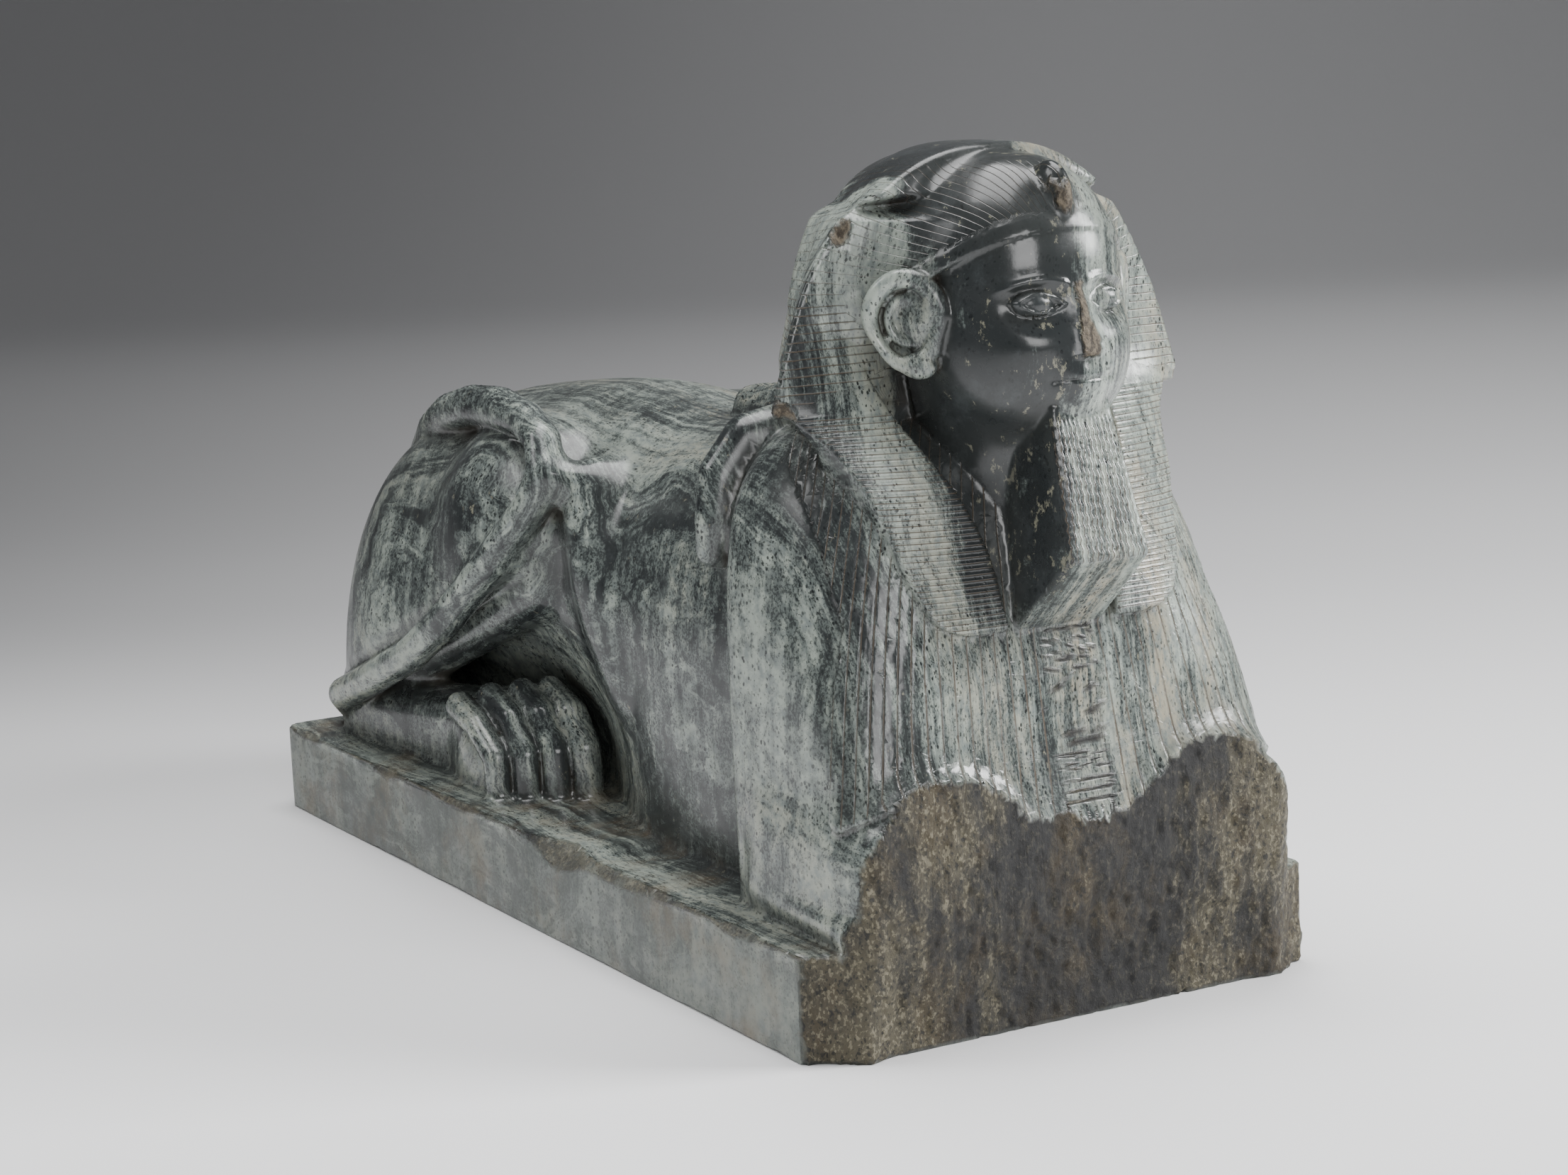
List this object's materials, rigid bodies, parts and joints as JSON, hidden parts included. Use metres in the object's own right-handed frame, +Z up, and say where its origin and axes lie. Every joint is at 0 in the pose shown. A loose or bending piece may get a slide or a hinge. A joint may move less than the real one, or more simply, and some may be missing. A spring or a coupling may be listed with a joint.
{
  "type": "sphinx statue",
  "caption": "Recumbent sphinx carved with its plinth from one block of banded stone, royal head-cloth and block beard, forelegs broken away.",
  "frame": {"origin": "middle of the plinth's underside", "axes": "+Z up, -Y the way the sphinx faces, -X its right side, where the tail lies"},
  "size_m": [0.293, 0.7295, 0.4254],
  "materials": {
    "gneiss": "polished banded gneiss, rough and brown where broken"
  },
  "bodies": {
    "root": {"sphinx": "gneiss"}
  },
  "joints": []
}
